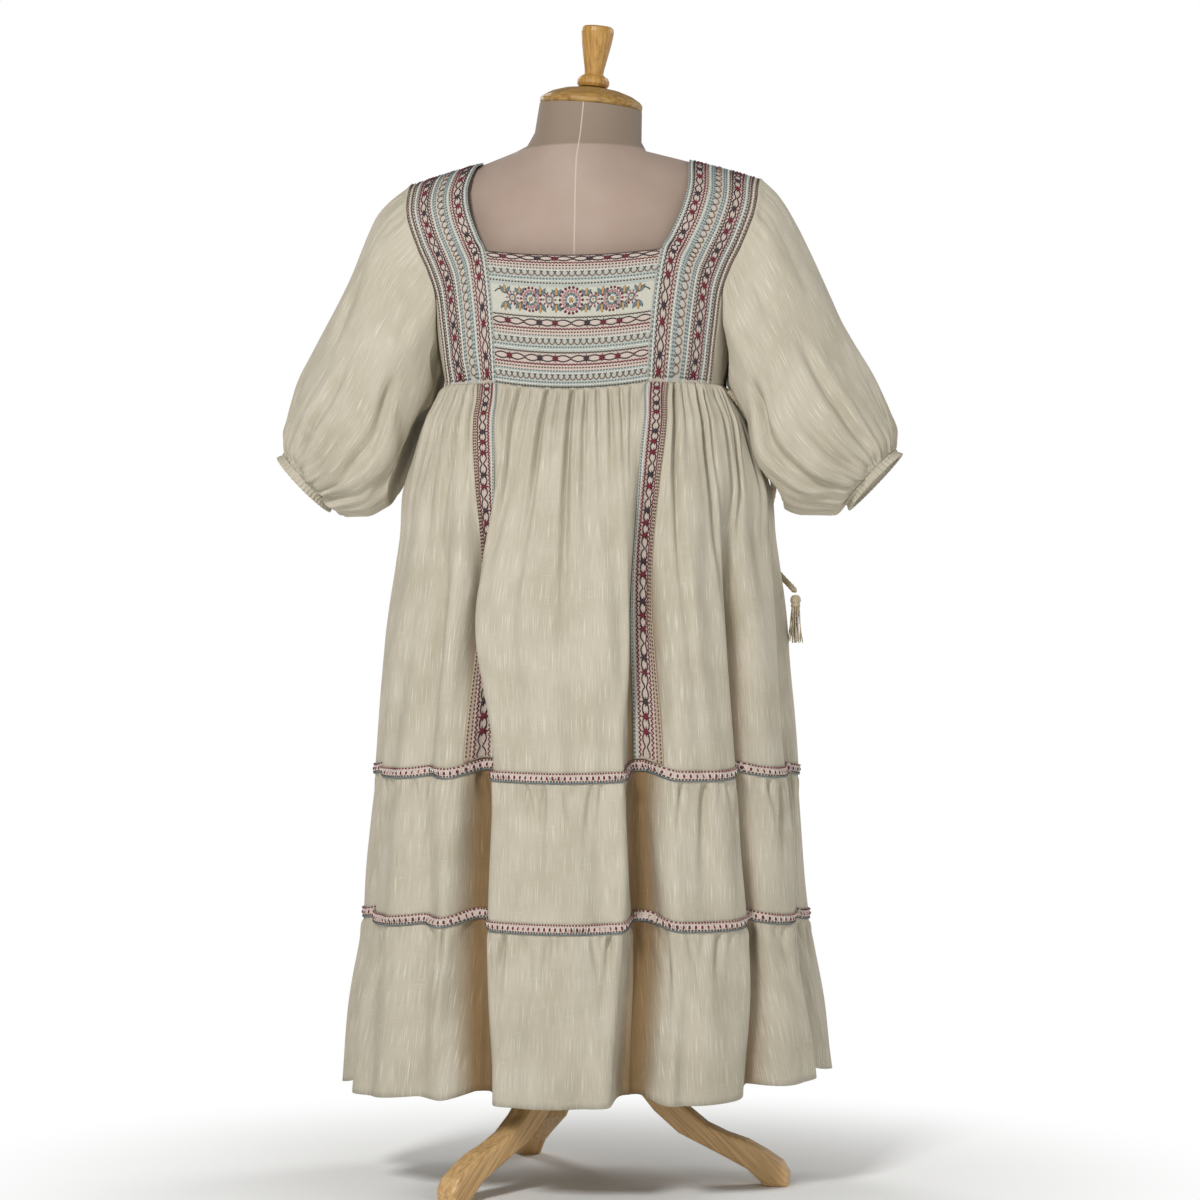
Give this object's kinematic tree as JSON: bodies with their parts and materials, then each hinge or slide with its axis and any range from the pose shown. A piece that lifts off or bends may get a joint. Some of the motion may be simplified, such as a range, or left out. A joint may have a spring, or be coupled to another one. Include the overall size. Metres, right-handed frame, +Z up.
{
  "type": "maxi dress on a limbless dress form with a wooden stand",
  "caption": "Tiered cotton maxi dress with balloon sleeves, square neck and a side tie, on a limbless dress form with a wooden neck cap and tripod stand.",
  "frame": {"origin": "on the floor, under the middle of the dress form", "axes": "+Z up; -Y out of the dress's back, the side with the wide square neckline and the stitched panel; +X towards the wearer's right sleeve, the side with the tie"},
  "size_m": [0.7639, 0.4712, 1.3733],
  "materials": {
    "ecru_cotton": "matte slub cotton in ecru",
    "embroidered_cotton": "matte cotton, thickly stitched in bands",
    "stitched_trim": "narrow stitched band, matte",
    "tan_cord": "twisted cotton cord in tan",
    "form_cloth": "smooth stretched cloth in greyish pink",
    "turned_wood": "turned wood, satin varnish",
    "leg_wood": "sawn and rounded wood, satin varnish"
  },
  "bodies": {
    "root": {"skirt_back": "ecru_cotton", "skirt_front": "ecru_cotton", "skirt_left": "ecru_cotton", "skirt_right": "ecru_cotton", "middle_tier_back": "ecru_cotton", "middle_tier_front": "ecru_cotton", "lower_tier_back": "ecru_cotton", "lower_tier_front": "ecru_cotton", "side_bodice_left": "ecru_cotton", "side_bodice_right": "ecru_cotton", "sleeve_left": "ecru_cotton", "sleeve_right": "ecru_cotton", "cuff_left": "ecru_cotton", "cuff_right": "ecru_cotton", "yoke_back": "embroidered_cotton", "yoke_front": "embroidered_cotton", "strap_back_left": "embroidered_cotton", "strap_back_right": "embroidered_cotton", "strap_front_left": "embroidered_cotton", "strap_front_right": "embroidered_cotton", "strip_back_left": "embroidered_cotton", "strip_back_right": "embroidered_cotton", "strip_front_left": "embroidered_cotton", "strip_front_right": "embroidered_cotton", "trim_upper_back": "stitched_trim", "trim_upper_front": "stitched_trim", "trim_lower_back": "stitched_trim", "trim_lower_front": "stitched_trim", "tie_cord": "tan_cord", "tassel": "tan_cord", "torso": "form_cloth", "neck_cap": "turned_wood", "finial": "turned_wood", "hub": "leg_wood", "pole": "leg_wood", "leg_1": "leg_wood", "leg_2": "leg_wood", "leg_3": "leg_wood"}
  },
  "joints": []
}
